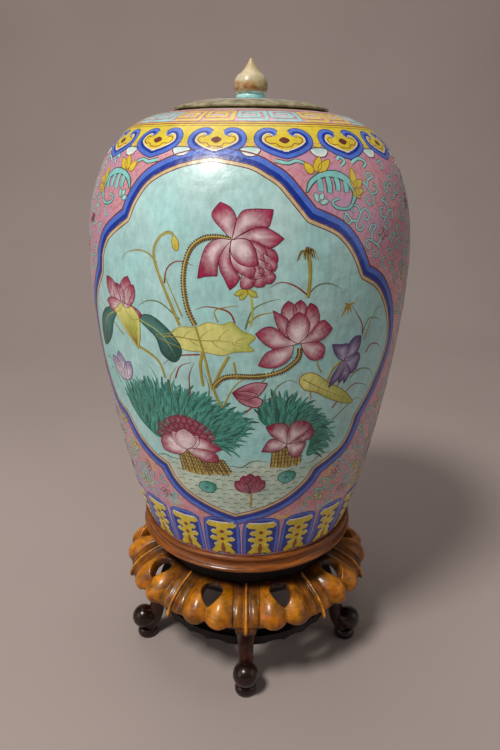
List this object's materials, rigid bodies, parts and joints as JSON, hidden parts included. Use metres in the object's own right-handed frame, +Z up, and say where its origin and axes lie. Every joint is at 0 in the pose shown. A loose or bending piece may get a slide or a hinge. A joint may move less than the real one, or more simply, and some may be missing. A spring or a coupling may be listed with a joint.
{
  "type": "ginger jar",
  "caption": "Covered ovoid porcelain jar with painted enamel flowers and a bud-topped disc cover, standing in a moulded ring on a pierced, lobed hardwood stand with ball-toed legs.",
  "frame": {"origin": "centre of the circle of foot pads, on the ground, below the jar's axis", "axes": "+Z up along the jar's axis, -Y towards the front, where the painted panel and the first leg are, +X to the right of someone facing the front"},
  "size_m": [0.2406, 0.2406, 0.4745],
  "materials": {
    "painted_porcelain": "glossy glaze with raised enamels: pink ground, turquoise panel, blue and yellow borders",
    "cover_porcelain": "glossy turquoise glaze with a worn unglazed beige edge",
    "gilt_porcelain": "worn gilding over cream glaze, iron red below",
    "light_wood": "polished golden brown hardwood with dark recesses",
    "dark_wood": "polished dark reddish brown hardwood"
  },
  "bodies": {
    "stand": {"stand_collar": "light_wood", "seat_board": "dark_wood", "waist_ring": "dark_wood", "apron_1": "light_wood", "apron_2": "light_wood", "apron_3": "light_wood", "apron_4": "light_wood", "apron_5": "light_wood", "leg_1": "dark_wood", "leg_2": "dark_wood", "leg_3": "dark_wood", "leg_4": "dark_wood", "leg_5": "dark_wood", "ball_toe_1": "dark_wood", "ball_toe_2": "dark_wood", "ball_toe_3": "dark_wood", "ball_toe_4": "dark_wood", "ball_toe_5": "dark_wood", "foot_pad_1": "dark_wood", "foot_pad_2": "dark_wood", "foot_pad_3": "dark_wood", "foot_pad_4": "dark_wood", "foot_pad_5": "dark_wood", "leg_dowels": "light_wood", "stretcher_ring": "dark_wood"},
    "jar": {"jar_body": "painted_porcelain"},
    "cover": {"cover_disc": "cover_porcelain", "cover_finial": "gilt_porcelain"}
  },
  "joints": [
    {"name": "jar_lift", "type": "slide", "parent": "stand", "child": "jar", "axis": [0, 0, 1], "range_m": [0, 0.08]},
    {"name": "cover_lift", "type": "slide", "parent": "jar", "child": "cover", "axis": [0, 0, 1], "range_m": [0, 0.08]}
  ]
}
